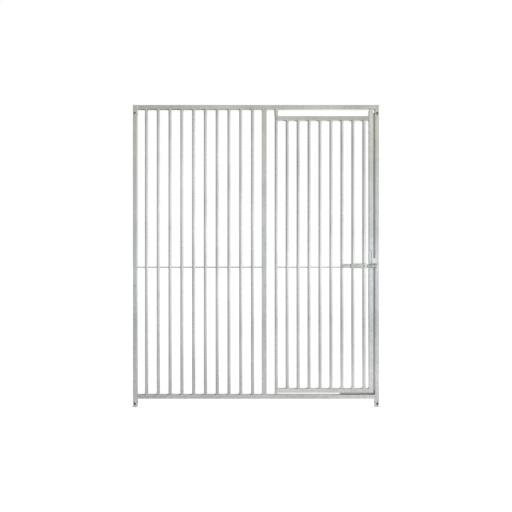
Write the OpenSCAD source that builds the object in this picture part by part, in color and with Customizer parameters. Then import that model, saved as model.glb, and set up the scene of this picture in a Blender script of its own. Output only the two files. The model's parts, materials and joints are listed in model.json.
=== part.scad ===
// Bar panel with a hinged door for animal pens: a welded square-tube frame
// with a fixed bay of upright bars on the left and a swinging bar door with
// a slide bolt on the right. Millimetres. +X is to the right and +Z is up.
// The front, with the bolt, faces -Y. The origin is on the ground, halfway
// between the outer posts and in the plane of the frame's front face.

/* [Panel frame] */
// Overall width over the outer posts
panel_w = 1500; // [1400:10:2000]
// Overall height, feet to top rail
panel_h = 1840; // [1500:10:2200]
// Clear height under the bottom rail
ground_gap = 50; // [45:1:120]
// Centre line of the mid post, right of the panel's centre
mid_post_x = 50; // [-50:5:100]
// Face width of the mid post
mid_post_w = 30; // [25:1:40]

/* [Square tube] */
// Side of the square tube of the frame and the door
tube = 25; // [24.5:0.5:28]
// Wall of the square tube
tube_wall = 2; // [1.5:0.1:2.4]
// Outer corner radius of the square tube
tube_corner_r = 3; // [2.8:0.1:4]

/* [Bars] */
// Diameter of the upright bars
bar_d = 20; // [18:0.5:22]
// Wall of the tube that the bars are cut from
bar_wall = 1.5; // [1.2:0.1:2.5]
// Number of bars in the fixed bay
panel_bar_count = 10; // [8:1:12]
// Number of bars in the door, apart from the hinge bar
door_bar_count = 8; // [7:1:10]
// From the face of a post to the centre of the first fixed bar
panel_bar_inset = 56; // [45:0.5:65]
// From the lock stile to the centre of the last door bar
door_bar_inset = 29; // [24:0.5:33]
// Diameter of the cross rod that runs through the bars
cross_rod_d = 6; // [5:0.5:8]
// Height of the cross rod
cross_rod_z = 851; // [700:1:1000]
// Free play of the cross rod in each bar
cross_rod_play = 0.3; // [0.2:0.05:0.6]

/* [Bolt and vent holes] */
// Diameter of the holes that bolt the panel to its neighbours
bolt_hole_d = 14; // [8:0.5:16]
// Height of the lower bolt holes
bolt_hole_low = 25; // [18:1:35]
// Depth of the upper bolt holes below the top of the posts
bolt_hole_drop = 51; // [40:1:80]
// Diameter of the zinc vent holes
vent_d = 6; // [4:0.5:8]
// Height of the vent holes in the left post and the mid post
vent_z = 737; // [600:1:800]

/* [Door] */
// From the mid post to the hinge axis
hinge_offset = 59; // [45:1:80]
// Gap between the lock stile and the right post
lock_gap = 11.5; // [8:0.5:18]
// Gap above the door's top rail
door_top_gap = 43; // [36:1:80]
// Gap under the door
door_bottom_gap = 12; // [8:0.5:25]
// Gap above the lock stile
stile_top_gap = 8.5; // [8:0.5:30]
// Lean of the door rails' ends at the hinge bar, in degrees
rail_end_lean = 24; // [0:1:30]
// Play between the closed door and its stop
door_stop_play = 0.5; // [0.4:0.1:1.5]

/* [Door hinge] */
// Diameter of the door's hinge bar
hinge_bar_d = 20; // [18:0.5:20.5]
// Wall of the hinge bar
hinge_bar_wall = 2.5; // [2:0.1:4]
// Radial play of both pivots
hinge_play = 0.3; // [0.2:0.05:0.6]
// Wall of the upper sleeve
sleeve_wall = 2; // [1.5:0.1:4]
// Gap between the sleeve and the door's top rail
sleeve_gap = 4; // [2:0.5:8]
// Space left above the hinge bar inside the sleeve
hinge_bar_headroom = 10; // [5:1:20]
// Length of the lower pin inside the hinge bar
pin_reach = 40; // [20:1:80]
// Diameter of the shoulder that carries the door
pin_shoulder_d = 18; // [17:0.5:22]
// Height left between the shoulder and the hinge bar
pin_shoulder_play = 0.4; // [0.3:0.1:1]

/* [Door stop] */
// Thickness of the gap strip and the sill stop
strip_t = 4; // [2.5:0.5:6]
// Width of the gap strip on the back of the right post
strip_seat = 16; // [10:1:22]
// Width of the gap strip that shows in the gap beside the door
strip_reach = 4; // [2:0.5:8]
// Distance from the gap strip's upper end to the top rail
strip_end_gap = 15; // [5:1:60]
// Length of the sill stop beside the gap strip
sill_stop_len = 205; // [60:5:300]
// Width of both strips on the back of the bottom rail
sill_seat = 17; // [12:1:22]
// Height of the sill stop behind the door's bottom rail
sill_reach = 8; // [5:0.5:16]
// Thickness of the overlap tab on the lock stile
tab_t = 4; // [3:0.5:6]
// Height of the overlap tab
tab_h = 32; // [20:1:50]
// Width of the tab on the lock stile
tab_seat = 10; // [7:0.5:14]
// Width of the tab in front of the right post
tab_reach = 8; // [4:0.5:14]
// Radius of the tab's upper corners
tab_corner_r = 10; // [3:0.5:12]
// Gap between the tab and the keeper
tab_gap = 1.5; // [1:0.5:8]

/* [Slide bolt] */
// Height of the bolt's axis
latch_z = 860; // [700:1:1000]
// Outer diameter of the barrel
barrel_d = 30; // [29:0.5:36]
// Length of the barrel
barrel_len = 78; // [74:1:120]
// Wall of the barrel
barrel_wall = 2; // [1.5:0.1:2.5]
// How far the welded barrel bites into the bars
weld_bite = 0.3; // [0.1:0.1:0.6]
// Diameter of the drain hole in the barrel
drain_d = 9; // [5:0.5:10]
// From the collar to the centre of the drain hole
drain_inset = 6.5; // [6:0.5:12]
// From the collar's inner end to the centre line of the last door bar
collar_lead = 3; // [3:0.1:5]
// Length of the collar that closes the barrel
collar_len = 11; // [6:0.5:14]
// Diameter of the bolt rod
rod_d = 16; // [12:0.5:18]
// Radial play of the rod in its collar and guide
rod_play = 0.5; // [0.4:0.1:1]
// Radial play of the rod in the keeper
keeper_play = 1.8; // [1.5:0.1:2.4]
// Chamfer on the tip of the rod
rod_chamfer = 2; // [1:0.5:4]
// Radial play of the grip inside the barrel
grip_play = 0.5; // [0.4:0.1:1]
// Length of the grip outside the barrel with the bolt drawn
grip_out = 54; // [36:1:80]
// Length of the grip that stays inside the barrel
grip_in = 20; // [10:1:30]
// Thickness of the closed end of the grip
grip_end_t = 8; // [4:0.5:15]
// Chamfer on the outer end of the grip
grip_chamfer = 1.5; // [1:0.5:6]
// Travel of the bolt
bolt_travel = 20; // [16:0.5:22]
// Diameter of the stop pin through the rod
stop_pin_d = 5; // [3:0.5:6]
// Length of the stop pin
stop_pin_len = 26; // [22:1:30]
// Play between the stop pin and the collar with the bolt drawn
stop_pin_play = 0.8; // [0.4:0.1:2]

/* [Bolt brackets] */
// Wall of the guide and the keeper round the rod
bracket_wall = 3.5; // [3:0.5:5]
// Length of the guide and the keeper along the rod
bracket_len = 14; // [10:0.5:15]
// Gap between the stop pin and the guide with the bolt thrown
guide_clear = 3; // [1:0.5:4]
// From the keeper to the inner edge of the right post
keeper_inset = 2; // [1:0.5:6]
// Gap between the drawn rod and the keeper
keeper_clear = 5; // [3:0.5:8]

/* [Hidden] */
$fn = 64;
eps = 0.5;
zinc = "#B7BBB8";
bright_zinc = "#C9CDCA";
dull_zinc = "#A3A7A5";

// Planes and centre lines of the frame
outer_x = panel_w / 2 - tube / 2;
post_inner_x = panel_w / 2 - tube;
frame_y = tube / 2;
post_front_y = 0;
post_back_y = tube;
rail_top_z = panel_h - tube;
rail_bottom_z = ground_gap + tube;
mid_left_x = mid_post_x - mid_post_w / 2;
mid_right_x = mid_post_x + mid_post_w / 2;
upright_len = rail_top_z - rail_bottom_z;
bolt_hole_high = panel_h - bolt_hole_drop;

// Bars of the fixed bay
panel_first_x = -post_inner_x + panel_bar_inset;
panel_last_x = mid_left_x - panel_bar_inset;
panel_pitch = (panel_last_x - panel_first_x) / (panel_bar_count - 1);

// The door lies just in front of the frame's mid-plane
door_y = frame_y - door_stop_play;
hinge_x = mid_right_x + hinge_offset;
stile_right_x = post_inner_x - lock_gap;
stile_left_x = stile_right_x - tube;
stile_x = stile_right_x - tube / 2;
stile_front_y = door_y - tube / 2;
stile_top_z = rail_top_z - stile_top_gap;
door_bottom_z = rail_bottom_z + door_bottom_gap;
door_top_z = rail_top_z - door_top_gap;
door_bar_low = door_bottom_z + tube;
door_bar_high = door_top_z - tube;
door_last_x = stile_left_x - door_bar_inset;
door_pitch = (door_last_x - hinge_x) / door_bar_count;
door_rail_x = hinge_x - tube / 2;

// Strips behind the frame
strip_x = post_inner_x - strip_reach;
strip_z = rail_bottom_z - sill_seat;

// Pivots of the door
hinge_bore_d = hinge_bar_d - 2 * hinge_bar_wall;
pin_d = hinge_bore_d - 2 * hinge_play;
sleeve_bore_d = hinge_bar_d + 2 * hinge_play;
sleeve_d = sleeve_bore_d + 2 * sleeve_wall;

// The bolt's axis runs along X in front of the bars
bolt_y = door_y - bar_d / 2 - barrel_d / 2 + weld_bite;
barrel_bore_d = barrel_d - 2 * barrel_wall;
grip_d = barrel_bore_d - 2 * grip_play;
rod_bore_d = rod_d + 2 * rod_play;
guide_d = rod_bore_d + 2 * bracket_wall;
keeper_bore_d = rod_d + 2 * keeper_play;
keeper_d = keeper_bore_d + 2 * bracket_wall;
collar_x = door_last_x - collar_lead;
barrel_x = collar_x - barrel_len;
grip_x = barrel_x - grip_out;
grip_len = grip_out + grip_in;
rod_x = grip_x + grip_end_t;
keeper_x = post_inner_x + keeper_inset;
rod_tip_x = keeper_x - keeper_clear;
rod_len = rod_tip_x - rod_x;
stop_pin_x = collar_x + collar_len + stop_pin_play + stop_pin_d / 2;
guide_x = stop_pin_x + stop_pin_d / 2 + bolt_travel + guide_clear;
tab_z = latch_z + keeper_d / 2 + tab_gap;
tab_w = tab_seat + lock_gap + tab_reach;

PANEL_BARS = [for (i = [1 : panel_bar_count]) str("panel_bar_", i)];
DOOR_BARS = [for (i = [1 : door_bar_count]) str("door_bar_", i)];

// Rectangle with rounded corners, centred
module round_rect(w, d, r) {
    square([w - 2 * r, d], center = true);
    square([w, d - 2 * r], center = true);
    for (sx = [-1, 1], sy = [-1, 1])
        translate([sx * (w / 2 - r), sy * (d / 2 - r)]) circle(r);
}

// Rectangular tube that stands on z = 0
module box_tube(w, d, len) {
    linear_extrude(len)
        difference() {
            round_rect(w, d, tube_corner_r);
            round_rect(w - 2 * tube_wall, d - 2 * tube_wall, tube_corner_r - tube_wall);
        }
}

// Square tube that lies along X from x = 0
module rail_tube(len) {
    rotate([0, 90, 0]) box_tube(tube, tube, len);
}

// Round tube that stands on z = 0
module round_tube(d, wall, len) {
    difference() {
        cylinder(d = d, h = len);
        translate([0, 0, -eps]) cylinder(d = d - 2 * wall, h = len + 2 * eps);
    }
}

// Cylinder along X, centred on x = 0
module cross_hole(d, len) {
    rotate([0, 90, 0]) cylinder(d = d, h = len, center = true);
}

// Cylinder along Y, centred on y = 0
module face_hole(d, len) {
    rotate([90, 0, 0]) cylinder(d = d, h = len, center = true);
}

// Vent hole through the front wall of a post at x
module vent(x) {
    translate([x, post_front_y, vent_z]) face_hole(vent_d, tube);
}

// Moves a shape that stands on z = 0 to lie along the bolt's axis from x
module on_bolt_axis(x) {
    translate([x, bolt_y, latch_z]) rotate([0, 90, 0]) children();
}

// Outer post with bolt holes through both pairs of faces, top and bottom
module outer_post(x) {
    difference() {
        translate([x, frame_y, 0]) box_tube(tube, tube, panel_h);
        for (z = [bolt_hole_low, bolt_hole_high])
            translate([x, frame_y, z]) {
                cross_hole(bolt_hole_d, tube + 2 * eps);
                face_hole(bolt_hole_d, tube + 2 * eps);
            }
    }
}

// Bar of round tube from low to high, drilled for its cross rod
module upright_bar(x, y, low, high) {
    difference() {
        translate([x, y, low]) round_tube(bar_d, bar_wall, high - low);
        translate([x, y, cross_rod_z])
            cross_hole(cross_rod_d + 2 * cross_rod_play, bar_d + 2 * eps);
    }
}

// Bracket with a flat foot on a front face and a round top, bored for the rod
module rod_bracket(x, face_y, d, bore_d) {
    foot = face_y - bolt_y;
    translate([x, bolt_y, latch_z])
        rotate([90, 0, 90])
            linear_extrude(bracket_len)
                difference() {
                    intersection() {
                        union() {
                            circle(d = d);
                            translate([0, -d / 2]) square([foot, d]);
                        }
                        translate([foot - 2 * d, -d]) square(2 * d);
                    }
                    circle(d = bore_d);
                }
}

module left_post() {
    color(zinc)
        difference() {
            outer_post(-outer_x);
            vent(-outer_x);
        }
}

module mid_post() {
    color(zinc)
        difference() {
            translate([mid_post_x, frame_y, rail_bottom_z]) box_tube(mid_post_w, tube, upright_len);
            vent(mid_post_x);
        }
}

module right_post() {
    color(zinc) outer_post(outer_x);
}

module top_rail() {
    color(zinc)
        translate([-post_inner_x, frame_y, rail_top_z + tube / 2]) rail_tube(2 * post_inner_x);
}

module bottom_rail() {
    color(zinc)
        translate([-post_inner_x, frame_y, ground_gap + tube / 2]) rail_tube(2 * post_inner_x);
}

module panel_bar(i) {
    color(dull_zinc)
        upright_bar(panel_first_x + (i - 1) * panel_pitch, frame_y, rail_bottom_z, rail_top_z);
}

module panel_cross_rod() {
    color(dull_zinc)
        translate([-post_inner_x, frame_y, cross_rod_z])
            rotate([0, 90, 0]) cylinder(d = cross_rod_d, h = mid_left_x + post_inner_x);
}

// Sleeve under the top rail that the hinge bar turns in
module hinge_sleeve() {
    color(bright_zinc)
        translate([hinge_x, door_y, door_top_z + sleeve_gap])
            round_tube(sleeve_d, sleeve_wall, door_top_gap - sleeve_gap);
}

// Pin on the bottom rail with a shoulder under the hinge bar
module hinge_pin() {
    color(bright_zinc)
        translate([hinge_x, door_y, rail_bottom_z]) {
            cylinder(d = pin_shoulder_d, h = door_bottom_gap - pin_shoulder_play);
            cylinder(d = pin_d, h = door_bottom_gap + pin_reach);
        }
}

// Strip on the back of the right post that narrows the gap beside the door
module gap_strip() {
    color(dull_zinc)
        translate([strip_x, post_back_y, strip_z])
            cube([strip_reach + strip_seat, strip_t, rail_top_z - strip_end_gap - strip_z]);
}

// Strip on the back of the bottom rail that the closed door meets
module sill_stop() {
    color(dull_zinc)
        translate([strip_x - sill_stop_len, post_back_y, strip_z])
            cube([sill_stop_len, strip_t, door_bottom_z + sill_reach - strip_z]);
}

module bolt_keeper() {
    color(bright_zinc) rod_bracket(keeper_x, post_front_y, keeper_d, keeper_bore_d);
}

// Bar that both door rails are coped round, and that turns in the two pivots
module hinge_bar() {
    color(dull_zinc)
        difference() {
            translate([hinge_x, door_y, door_bottom_z])
                round_tube(hinge_bar_d, hinge_bar_wall, rail_top_z - hinge_bar_headroom - door_bottom_z);
            translate([hinge_x, door_y, cross_rod_z])
                rotate([0, 90, 0]) cylinder(d = cross_rod_d, h = hinge_bar_d);
        }
}

// Door rail with a leaning end, coped round the hinge bar, that ends on the lock stile
module door_rail(low) {
    difference() {
        translate([door_rail_x, door_y, low + tube / 2]) rail_tube(stile_left_x - door_rail_x);
        translate([hinge_x, door_y, low - eps]) cylinder(d = hinge_bar_d, h = tube + 2 * eps);
        translate([hinge_x, door_y, low + tube / 2])
            rotate([0, rail_end_lean, 0])
                translate([-2 * tube, -tube, -2 * tube]) cube([2 * tube, 2 * tube, 4 * tube]);
    }
}

module door_top_rail() {
    color(zinc) door_rail(door_top_z - tube);
}

module door_bottom_rail() {
    color(zinc) door_rail(door_bottom_z);
}

module lock_stile() {
    color(zinc)
        translate([stile_x, door_y, door_bottom_z]) box_tube(tube, tube, stile_top_z - door_bottom_z);
}

module door_bar(i) {
    color(dull_zinc) upright_bar(hinge_x + i * door_pitch, door_y, door_bar_low, door_bar_high);
}

module door_cross_rod() {
    color(dull_zinc)
        translate([hinge_x, door_y, cross_rod_z])
            rotate([0, 90, 0]) cylinder(d = cross_rod_d, h = stile_left_x - hinge_x);
}

// Plate on the lock stile that overlaps the right post, rounded at the top
module overlap_tab() {
    color(bright_zinc)
        translate([stile_right_x - tab_seat, stile_front_y, tab_z])
            rotate([90, 0, 0])
                linear_extrude(tab_t) {
                    square([tab_w, tab_h - tab_corner_r]);
                    translate([tab_corner_r, 0]) square([tab_w - 2 * tab_corner_r, tab_h]);
                    for (x = [tab_corner_r, tab_w - tab_corner_r])
                        translate([x, tab_h - tab_corner_r]) circle(tab_corner_r);
                }
}

// Barrel welded across the last two door bars, with a drain hole in front
module latch_barrel() {
    color(zinc)
        difference() {
            on_bolt_axis(barrel_x) round_tube(barrel_d, barrel_wall, barrel_len);
            translate([collar_x - drain_inset, bolt_y - barrel_d / 2, latch_z])
                face_hole(drain_d, barrel_d / 2);
        }
}

// Ring that closes the barrel and guides the rod
module latch_collar() {
    color(bright_zinc)
        on_bolt_axis(collar_x) round_tube(barrel_d, (barrel_d - rod_bore_d) / 2, collar_len);
}

module bolt_guide() {
    color(zinc) rod_bracket(guide_x, stile_front_y, guide_d, rod_bore_d);
}

// Rod with a chamfered tip, cross-drilled for its stop pin
module bolt_rod() {
    color(bright_zinc)
        difference() {
            on_bolt_axis(rod_x) {
                cylinder(d = rod_d, h = rod_len - rod_chamfer);
                translate([0, 0, rod_len - rod_chamfer])
                    cylinder(d1 = rod_d, d2 = rod_d - 2 * rod_chamfer, h = rod_chamfer);
            }
            translate([stop_pin_x, bolt_y, latch_z])
                cylinder(d = stop_pin_d, h = rod_d + 2 * eps, center = true);
        }
}

// Grip with a closed, chamfered end, pressed on the rod and sliding in the barrel
module bolt_grip() {
    color(zinc)
        difference() {
            on_bolt_axis(grip_x) {
                cylinder(d1 = grip_d - 2 * grip_chamfer, d2 = grip_d, h = grip_chamfer);
                translate([0, 0, grip_chamfer]) cylinder(d = grip_d, h = grip_len - grip_chamfer);
            }
            on_bolt_axis(rod_x) cylinder(d = rod_d, h = grip_len);
        }
}

module bolt_stop_pin() {
    color(bright_zinc)
        translate([stop_pin_x, bolt_y, latch_z])
            cylinder(d = stop_pin_d, h = stop_pin_len, center = true);
}

left_post();
mid_post();
right_post();
top_rail();
bottom_rail();
for (i = [1 : panel_bar_count])
    panel_bar(i);
panel_cross_rod();
hinge_sleeve();
hinge_pin();
gap_strip();
sill_stop();
bolt_keeper();
hinge_bar();
door_top_rail();
door_bottom_rail();
lock_stile();
for (i = [1 : door_bar_count])
    door_bar(i);
door_cross_rod();
overlap_tab();
latch_barrel();
latch_collar();
bolt_guide();
bolt_rod();
bolt_grip();
bolt_stop_pin();
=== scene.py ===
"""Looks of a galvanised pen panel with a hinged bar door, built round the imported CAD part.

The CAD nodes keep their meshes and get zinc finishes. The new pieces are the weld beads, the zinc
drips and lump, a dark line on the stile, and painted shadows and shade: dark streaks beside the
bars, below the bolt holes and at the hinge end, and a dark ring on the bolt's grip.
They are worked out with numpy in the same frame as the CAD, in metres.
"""

from __future__ import annotations

import json
import logging
import math
from dataclasses import dataclass, replace
from enum import Enum
from functools import partial
from typing import Any, Callable, Sequence

import bmesh
import bpy
import numpy as np
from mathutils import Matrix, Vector

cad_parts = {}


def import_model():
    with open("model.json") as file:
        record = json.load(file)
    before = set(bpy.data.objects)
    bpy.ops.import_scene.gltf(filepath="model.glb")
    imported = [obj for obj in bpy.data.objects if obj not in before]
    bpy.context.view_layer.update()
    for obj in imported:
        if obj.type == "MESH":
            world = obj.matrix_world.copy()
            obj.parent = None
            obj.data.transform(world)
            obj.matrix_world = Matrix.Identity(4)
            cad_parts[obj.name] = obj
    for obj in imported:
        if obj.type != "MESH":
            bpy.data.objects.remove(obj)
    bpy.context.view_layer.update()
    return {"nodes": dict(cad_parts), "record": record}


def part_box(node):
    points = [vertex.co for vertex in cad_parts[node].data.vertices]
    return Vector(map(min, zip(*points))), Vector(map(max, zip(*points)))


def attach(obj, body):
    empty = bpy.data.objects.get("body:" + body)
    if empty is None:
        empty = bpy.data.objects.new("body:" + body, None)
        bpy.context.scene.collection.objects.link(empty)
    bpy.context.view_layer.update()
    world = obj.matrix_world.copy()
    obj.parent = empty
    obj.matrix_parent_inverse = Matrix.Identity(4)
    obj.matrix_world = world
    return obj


LOG = logging.getLogger("pen_panel")
MM = 0.001
MM_PER_M = 1000
# Points of a cubic Bezier curve
BENDS = 4
# Keeps a divisor above zero, and takes up rounding in a full turn
TINY = 1e-6

LEFT, RIGHT = (-1, 0, 0), (1, 0, 0)
FRONT, BACK = (0, -1, 0), (0, 1, 0)
DOWN, UP = (0, 0, -1), (0, 0, 1)

# Settings that shader nodes share
TIMES = {"operation": "MULTIPLY"}
TIMES_PLUS = {"operation": "MULTIPLY_ADD"}
LARGER = {"operation": "MAXIMUM"}
COLOURS = {"data_type": "RGBA"}

Array = np.ndarray
Point = Sequence[float]
Pair = tuple[float, float]
Spots = tuple[tuple[float, ...], tuple[float, ...]]
Adder = Callable[..., Any]


class Body(Enum):
    """The rigid bodies of the panel."""

    FRAME = "frame"
    DOOR = "door"
    BOLT = "bolt"


class Slot(Enum):
    """The record's material slots."""

    SQUARE_TUBE = "square_tube"
    ROUND_BAR = "round_bar"
    STRIP_AND_ROD = "strip_and_rod"
    FITTINGS = "fittings"


class Ease(Enum):
    """How a ramp leaves its low level and reaches its high one."""

    LINEAR = "LINEAR"
    SMOOTH = "SMOOTHSTEP"


def linear(hex_colour: str) -> tuple[float, float, float, float]:
    """Turns an sRGB hex colour into linear RGBA.

    Args:
        hex_colour: six hex digits after a hash sign.

    Returns:
        Linear red, green, blue and an alpha of 1.
    """
    values = np.array([int(hex_colour[i : i + 2], 16) for i in (1, 3, 5)]) / 255.0
    bent = np.where(values <= 0.04045, values / 12.92, ((values + 0.055) / 1.055) ** 2.4)
    return (float(bent[0]), float(bent[1]), float(bent[2]), 1.0)


def add_node(
    tree: Any, kind: str, out: str | None, settings: dict[Any, Any], links: dict[Any, Any] | None = None
) -> Any:
    """Adds one shader node.

    Args:
        tree: the node tree.
        kind: the node's Blender type, without its prefix.
        out: name of the output that is used, or None for all of them.
        settings: input values by socket name or number, or node attributes by name.
        links: sockets to link, by input name or number.

    Returns:
        The output socket, or all the outputs.
    """
    node = tree.nodes.new("ShaderNode" + kind)
    attributes = {k: v for k, v in settings.items() if not isinstance(k, int) and hasattr(node, k)}
    for key, value in attributes.items():
        setattr(node, key, value)
    for key, value in settings.items():
        if key not in attributes:
            node.inputs[key].default_value = value
    for key, socket in (links or {}).items():
        tree.links.new(socket, node.inputs[key])
    return node.outputs[out] if out else node.outputs


def node_adder(owner: Any) -> Adder:
    """Empties a node tree.

    Args:
        owner: a material or world.

    Returns:
        The function that adds nodes to the tree.
    """
    owner.use_nodes = True
    owner.node_tree.nodes.clear()
    return partial(add_node, owner.node_tree)


@dataclass(frozen=True)
class Ramp:
    """A level that goes from low to high while a measure goes from start to end."""

    start: float
    end: float
    low: float = 0.0
    high: float = 1.0
    ease: Ease = Ease.LINEAR

    def settings(self) -> dict[str, Any]:
        """Gives the ramp as settings of a Map Range node."""
        span = {"From Min": self.start, "From Max": self.end, "To Min": self.low, "To Max": self.high}
        return {**span, "interpolation_type": self.ease.value}


@dataclass(frozen=True)
class ZincFinish:
    """Hot-dip galvanised steel, dipped after welding.

    It gives the eye a pale grey metal, half bright and half matt, mottled by the crystals of the
    zinc, with dull clouds and faint streaks where the zinc ran off. Where a tube is open, its dark,
    ashy inside is dull zinc and partly painted shade, darkened by ambient occlusion. The cloud seed
    shifts the clouds, so that no two rails match.
    """

    name: str
    dark: str
    pale: str
    roughness: Pair
    metallic: float = 0.85
    high_tone: str | None = "#fffcf2"
    low_tone: str | None = "#fffcfb"
    high_zone: Ramp = Ramp(1.0, 1.75, ease=Ease.SMOOTH)
    low_zone: Ramp = Ramp(0.55, 0.15, ease=Ease.SMOOTH)
    # Dull, ashy zinc inside a tube, and painted shade: the colour that recesses take where ambient
    # occlusion finds them shaded
    ash_and_shade: str = "#202121"
    recess: Ramp = Ramp(0.5, 0.15)
    recess_mm: float = 40.0
    recess_samples: int = 6
    own_recess: bool = True
    # The crystals and the grain are finer on a real tube, and are drawn as coarse as they need to show
    spangle_mm: float = 11.0
    spangle_share: float = 0.42
    edge_wander: float = 0.8
    edge_wave: float = 1.5
    grain_mm: float = 2.5
    grain_bump: float = 0.12
    grain_depth_mm: float = 0.3
    cloud_mm: float = 330.0
    cloud_share: float = 1.7
    cloud_seed: int = 0
    streak_mm: float = 14.0
    streak_share: float = 0.35
    streak_squeeze: float = 0.06

    def mottle(self, add: Adder, place: Any) -> tuple[Any, Any]:
        """Adds up three patterns: crystals, broad dull clouds, and streaks along Z where zinc ran off.

        Each crystal is a cell with a tone of its own, and a noise makes its edges wander.

        Args:
            add: adds a node to the material.
            place: the socket of the Object coordinates.

        Returns:
            The sockets of the crystals' tone and of the share of the pale colour.
        """
        wave = {"Scale": MM_PER_M / (self.edge_wave * self.spangle_mm), "Detail": 2.0}
        wobble = add("TexNoise", "Color", wave, {"Vector": place})
        wander = {**TIMES_PLUS, 1: (self.edge_wander * self.spangle_mm * MM,) * 3}
        bent = add("VectorMath", "Vector", wander, {0: wobble, 2: place})
        cells = add("TexVoronoi", "Color", {"Scale": MM_PER_M / self.spangle_mm}, {"Vector": bent})
        tone = add("SeparateColor", "Red", {}, {"Color": cells})
        shift = {"operation": "ADD", 1: (0.0, self.cloud_seed, 0.0)}
        moved = add("VectorMath", "Vector", shift, {0: place})
        broad = {"Scale": MM_PER_M / self.cloud_mm, "Detail": 4.0}
        cloud = add("TexNoise", "Fac", broad, {"Vector": moved})
        drawn = add("Mapping", "Vector", {"Scale": (1.0, 1.0, self.streak_squeeze)}, {"Vector": place})
        narrow = {"Scale": MM_PER_M / self.streak_mm, "Detail": 3.0}
        streak = add("TexNoise", "Fac", narrow, {"Vector": drawn})
        base = 0.5 - 0.5 * (self.spangle_share + self.cloud_share + self.streak_share)
        clouded = add("Math", "Value", {**TIMES_PLUS, 1: self.cloud_share, 2: base}, {0: cloud})
        spangled = add("Math", "Value", {**TIMES_PLUS, 1: self.spangle_share}, {0: tone, 2: clouded})
        clamped = {**TIMES_PLUS, 1: self.streak_share, "use_clamp": True}
        return tone, add("Math", "Value", clamped, {0: streak, 2: spangled})

    def colour(self, add: Adder, place: Any, share: Any) -> Any:
        """Mixes the dark and the pale zinc, then the tints by height and the painted shade in recesses.

        The tints grow towards the top and the foot of the panel. The painted shade, a dark ashy tone,
        comes where ambient occlusion finds the metal shaded all round within the recess size, as inside
        a tube.

        Args:
            add: adds a node to the material.
            place: the socket of the Object coordinates.
            share: the socket of the share of the pale colour.

        Returns:
            The socket of the colour.
        """
        ends = {**COLOURS, "A": linear(self.dark), "B": linear(self.pale)}
        toned = add("Mix", "Result", ends, {"Factor": share})
        height = add("SeparateXYZ", "Z", {}, {"Vector": place})
        for tint, zone in ((self.high_tone, self.high_zone), (self.low_tone, self.low_zone)):
            if tint is not None:
                near = add("MapRange", "Result", zone.settings(), {"Value": height})
                wash = {**COLOURS, "blend_type": "MULTIPLY", "B": linear(tint)}
                toned = add("Mix", "Result", wash, {"Factor": near, "A": toned})
        # Painted shade: ambient occlusion darkens the colour in tube insides, bores and recesses
        reach = {"samples": self.recess_samples, "Distance": self.recess_mm * MM}
        shaded = add("AmbientOcclusion", "AO", {**reach, "only_local": self.own_recess})
        inside = add("MapRange", "Result", self.recess.settings(), {"Value": shaded})
        return add("Mix", "Result", {**COLOURS, "B": linear(self.ash_and_shade)}, {"Factor": inside, "A": toned})

    def material(self) -> Any:
        """Builds the material: the mottled colour, roughness by crystal, and bump from a fine grain.

        Returns:
            The Blender material.
        """
        made = bpy.data.materials.new(self.name)
        add = node_adder(made)
        place = add("TexCoord", "Object", {})
        tone, share = self.mottle(add, place)
        colour = self.colour(add, place, share)
        rough = add("MapRange", "Result", Ramp(0.0, 1.0, *self.roughness).settings(), {"Value": tone})
        fine = {"Scale": MM_PER_M / self.grain_mm, "Detail": 3.0}
        grain = add("TexNoise", "Fac", fine, {"Vector": place})
        depth = {"Strength": self.grain_bump, "Distance": self.grain_depth_mm * MM}
        bump = add("Bump", "Normal", depth, {"Height": grain})
        links = {"Base Color": colour, "Roughness": rough, "Normal": bump}
        shader = add("BsdfPrincipled", "BSDF", {"Metallic": self.metallic}, links)
        add("OutputMaterial", None, {}, {"Surface": shader})
        return made


# Square tube of the posts: an even, soft grey
TUBE_ZINC = ZincFinish("galvanised_square_tube", "#b8bcbc", "#e0e4e4", (0.36, 0.52))
# The lock stile came out of the bath paler
STILE_ZINC = replace(TUBE_ZINC, name="galvanised_stile_tube", dark="#c0c4c4", pale="#e7ebeb")
# Each rail has clouds of its own, and the door's foot rail is as pale as the stile
RAILS = ("top_rail", "bottom_rail", "door_top_rail", "door_bottom_rail")
CLOUD_STEP = 2
RAIL_ZINC = {
    rail: replace(
        STILE_ZINC if rail == "door_bottom_rail" else TUBE_ZINC,
        name=f"galvanised_{rail}_tube",
        low_tone="#fffcf9",
        cloud_seed=CLOUD_STEP * n,
    )
    for n, rail in enumerate(RAILS, 1)
}
# Round bar: smoother and brighter, so that each side mirrors the room
BAR_ZINC = ZincFinish(
    "galvanised_round_bar",
    "#b8b9b8",
    "#e2e3e2",
    (0.27, 0.30),
    high_tone=None,
    low_tone=None,
    spangle_mm=9.0,
    spangle_share=0.08,
    grain_bump=0.02,
)
# Thin rod: a darker line across the bars
ROD_ZINC = ZincFinish("galvanised_rod", "#a9aead", "#d2d7d6", (0.34, 0.48), spangle_mm=6.0)
# Flat strip: nearly white and matt, painted pale so that the shaded gaps behind the stile and the door
# read lighter
STRIP_ZINC_PAINTED_LIGHT = ZincFinish("galvanised_strip_painted_light", "#d4d8d7", "#f2f4f3", (0.50, 0.66), 0.3, spangle_mm=10.0)
# Plate and lump: bright, thick zinc
PLATE_ZINC = ZincFinish(
    "galvanised_plate", "#cdd2d0", "#f0f3f1", (0.34, 0.48), spangle_mm=7.0, cloud_mm=40.0
)
# Small fittings: bright, with painted shade in their bores and where they meet other parts
FITTING_ZINC = replace(
    PLATE_ZINC,
    name="galvanised_fitting",
    dark="#d2d6d3",
    pale="#f6f8f5",
    roughness=(0.26, 0.42),
    cloud_mm=50.0,
    recess_mm=8.0,
    own_recess=False,
)
# The bolt and its guide are a darker zinc, and the stop pin is dark grey
BOLT_ZINC = replace(FITTING_ZINC, name="galvanised_bolt_darker", dark="#acb0ae", pale="#d8dbd9")
DARK_STOP_PIN = replace(FITTING_ZINC, name="dark_stop_pin_finish", dark="#5c605e", pale="#7e8280")
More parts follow.
